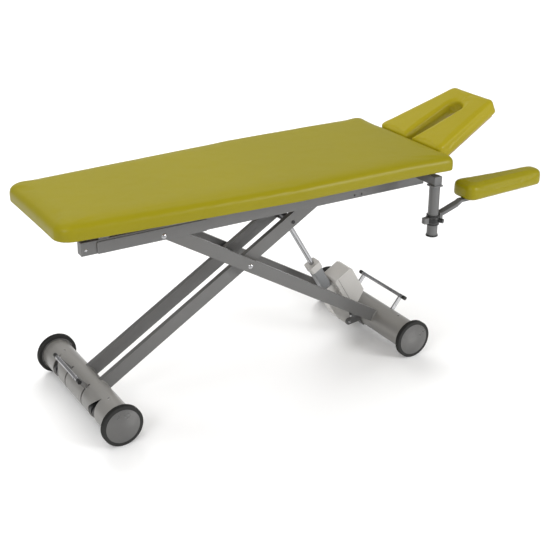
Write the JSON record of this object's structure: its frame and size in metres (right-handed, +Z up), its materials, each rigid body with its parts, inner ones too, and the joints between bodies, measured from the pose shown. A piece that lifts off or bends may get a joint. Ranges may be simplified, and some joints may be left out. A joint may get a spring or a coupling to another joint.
{
  "type": "examination couch",
  "caption": "Height-adjustable examination couch with scissor legs on rolling base tubes, a tilting head section with face slot, and armrests on posts.",
  "frame": {"origin": "on the floor under the middle of the couch's bounding box", "axes": "+X towards the head end, +Y to the left of a person lying on their back, +Z up"},
  "size_m": [2.02, 0.7506, 0.9536],
  "materials": {
    "frame_paint": "satin grey powder coat",
    "leg_paint": "satin grey powder coat",
    "base_paint": "satin warm grey powder coat",
    "upholstery": "smooth olive-lime vinyl over foam",
    "plywood": "plain plywood",
    "bright_steel": "polished and bright-plated steel",
    "plain_steel": "turned and zinc-plated steel",
    "tyre_rubber": "ribbed rubber",
    "cap_plastic": "moulded grey plastic",
    "housing_plastic": "light warm grey moulding",
    "tube_grey": "mid grey moulding",
    "black_plastic": "black plastic",
    "castor_plastic": "dark castor wheel"
  },
  "bodies": {
    "top_frame": {"rail_left": "frame_paint", "rail_right": "frame_paint", "pivot_plates": "frame_paint", "upper_pivot_pins": "bright_steel", "roller_tracks": "plain_steel", "cross_tubes": "frame_paint", "deck_frame": "frame_paint", "main_board": "plywood", "main_pad": "upholstery", "frame_bolts": "bright_steel", "head_hinge_brackets": "frame_paint", "armrest_crossbar": "frame_paint", "post_left": "frame_paint", "post_right": "frame_paint", "post_plates": "frame_paint", "post_feet": "black_plastic"},
    "outer_legs": {"outer_arm_left": "leg_paint", "outer_arm_right": "leg_paint", "scissor_shaft": "bright_steel", "actuator_bracket": "frame_paint", "head_base_tube": "base_paint", "head_tyres": "tyre_rubber", "head_end_caps": "cap_plastic"},
    "inner_legs": {"inner_arm_left": "leg_paint", "inner_arm_right": "leg_paint", "actuator_bolts": "black_plastic", "foot_base_tube": "base_paint", "foot_tyres": "tyre_rubber", "foot_end_caps": "cap_plastic"},
    "rollers": {"track_rollers": "plain_steel"},
    "actuator": {"actuator_gearbox": "housing_plastic", "actuator_motor_cover": "housing_plastic", "actuator_motor": "plain_steel", "actuator_tube": "tube_grey", "actuator_collar": "housing_plastic", "actuator_spindle": "plain_steel"},
    "actuator_rod_body": {"actuator_rod": "bright_steel"},
    "head_section": {"head_frame": "frame_paint", "head_board": "plywood", "head_pad": "upholstery"},
    "gas_spring": {"gas_spring_cylinder": "black_plastic"},
    "gas_spring_rod_body": {"gas_spring_rod": "bright_steel"},
    "foot_lift": {"foot_castor_lift": "bright_steel", "foot_lift_bar": "bright_steel", "foot_lift_bar_tips": "black_plastic"},
    "foot_castor_left": {"foot_castor_wheel_left": "castor_plastic"},
    "foot_castor_right": {"foot_castor_wheel_right": "castor_plastic"},
    "head_lift": {"head_castor_lift": "bright_steel", "head_lift_bar": "bright_steel", "head_lift_bar_tips": "black_plastic"},
    "head_castor_left": {"head_castor_wheel_left": "castor_plastic"},
    "head_castor_right": {"head_castor_wheel_right": "castor_plastic"},
    "armrest_slide_left": {"slide_rings_left": "black_plastic"},
    "armrest_left": {"armrest_bar_left": "frame_paint", "armrest_pad_left": "upholstery"},
    "knob_left": {"clamp_knob_left": "black_plastic"},
    "armrest_slide_right": {"slide_rings_right": "black_plastic"},
    "armrest_right": {"armrest_bar_right": "frame_paint", "armrest_pad_right": "upholstery"},
    "knob_right": {"clamp_knob_right": "black_plastic"}
  },
  "joints": [
    {"name": "leg_fold", "type": "hinge", "parent": "top_frame", "child": "outer_legs", "pos_m": [-0.5745, 0, 0.6624], "axis": [0, 1, 0], "range_deg": [-18.2, 6.8]},
    {"name": "scissor", "type": "hinge", "parent": "outer_legs", "child": "inner_legs", "pos_m": [-0.2145, 0, 0.461], "axis": [0, 1, 0], "range_deg": [-14, 37]},
    {"name": "roller_spin", "type": "hinge", "parent": "inner_legs", "child": "rollers", "pos_m": [0.1455, 0, 0.6624], "axis": [0, 1, 0], "continuous": true},
    {"name": "actuator_tilt", "type": "hinge", "parent": "outer_legs", "child": "actuator", "pos_m": [0.304, 0, 0.0645], "axis": [0, 1, 0], "range_deg": [-4, 2]},
    {"name": "actuator_stroke", "type": "slide", "parent": "actuator", "child": "actuator_rod_body", "axis": [-0.5093, 0, 0.8606], "range_m": [-0.148, 0.056]},
    {"name": "head_tilt", "type": "hinge", "parent": "top_frame", "child": "head_section", "pos_m": [0.622, 0, 0.745], "axis": [0, -1, 0], "range_deg": [-52, 2]},
    {"name": "gas_spring_tilt", "type": "hinge", "parent": "top_frame", "child": "gas_spring", "pos_m": [0.382, 0, 0.672], "axis": [0, -1, 0], "range_deg": [-13, 3]},
    {"name": "gas_spring_stroke", "type": "slide", "parent": "gas_spring", "child": "gas_spring_rod_body", "axis": [0.9882, 0, 0.1534], "range_m": [-0.053, 0.009]},
    {"name": "foot_lift_turn", "type": "hinge", "parent": "inner_legs", "child": "foot_lift", "pos_m": [-0.827, 0, 0.0555], "axis": [0, -1, 0], "range_deg": [0, 62]},
    {"name": "foot_castor_spin_left", "type": "hinge", "parent": "foot_lift", "child": "foot_castor_left", "pos_m": [-0.88122, 0, 0.07523], "axis": [0, 1, 0], "continuous": true},
    {"name": "foot_castor_spin_right", "type": "hinge", "parent": "foot_lift", "child": "foot_castor_right", "pos_m": [-0.88122, 0, 0.07523], "axis": [0, 1, 0], "continuous": true},
    {"name": "head_lift_turn", "type": "hinge", "parent": "outer_legs", "child": "head_lift", "pos_m": [0.398, 0, 0.0555], "axis": [0, 1, 0], "range_deg": [0, 62]},
    {"name": "head_castor_spin_left", "type": "hinge", "parent": "head_lift", "child": "head_castor_left", "pos_m": [0.45222, 0, 0.07523], "axis": [0, 1, 0], "continuous": true},
    {"name": "head_castor_spin_right", "type": "hinge", "parent": "head_lift", "child": "head_castor_right", "pos_m": [0.45222, 0, 0.07523], "axis": [0, 1, 0], "continuous": true},
    {"name": "armrest_height_left", "type": "slide", "parent": "top_frame", "child": "armrest_slide_left", "axis": [0, 0, 1], "range_m": [-0.04, 0.048]},
    {"name": "armrest_swing_left", "type": "hinge", "parent": "armrest_slide_left", "child": "armrest_left", "pos_m": [0.498, 0.294, 0.574], "axis": [0, 0, 1], "range_deg": [-5, 120]},
    {"name": "knob_turn_left", "type": "hinge", "parent": "armrest_left", "child": "knob_left", "pos_m": [0.498, 0.294, 0.574], "axis": [0.4695, 0.8829, 0], "range_deg": [-90, 270]},
    {"name": "armrest_height_right", "type": "slide", "parent": "top_frame", "child": "armrest_slide_right", "axis": [0, 0, 1], "range_m": [-0.04, 0.048]},
    {"name": "armrest_swing_right", "type": "hinge", "parent": "armrest_slide_right", "child": "armrest_right", "pos_m": [0.498, -0.294, 0.574], "axis": [0, 0, -1], "range_deg": [-5, 120]},
    {"name": "knob_turn_right", "type": "hinge", "parent": "armrest_right", "child": "knob_right", "pos_m": [0.498, -0.294, 0.574], "axis": [0.4695, -0.8829, 0], "range_deg": [-90, 270]}
  ],
  "couplings": [
    {"joint": "scissor", "follows": "leg_fold", "ratio": -2},
    {"joint": "actuator_tilt", "follows": "leg_fold", "ratio": 0.185},
    {"joint": "actuator_stroke", "follows": "leg_fold", "m_per_rad": 0.4612},
    {"joint": "gas_spring_tilt", "follows": "head_tilt", "ratio": 0.235},
    {"joint": "gas_spring_stroke", "follows": "head_tilt", "m_per_rad": 0.05787}
  ]
}
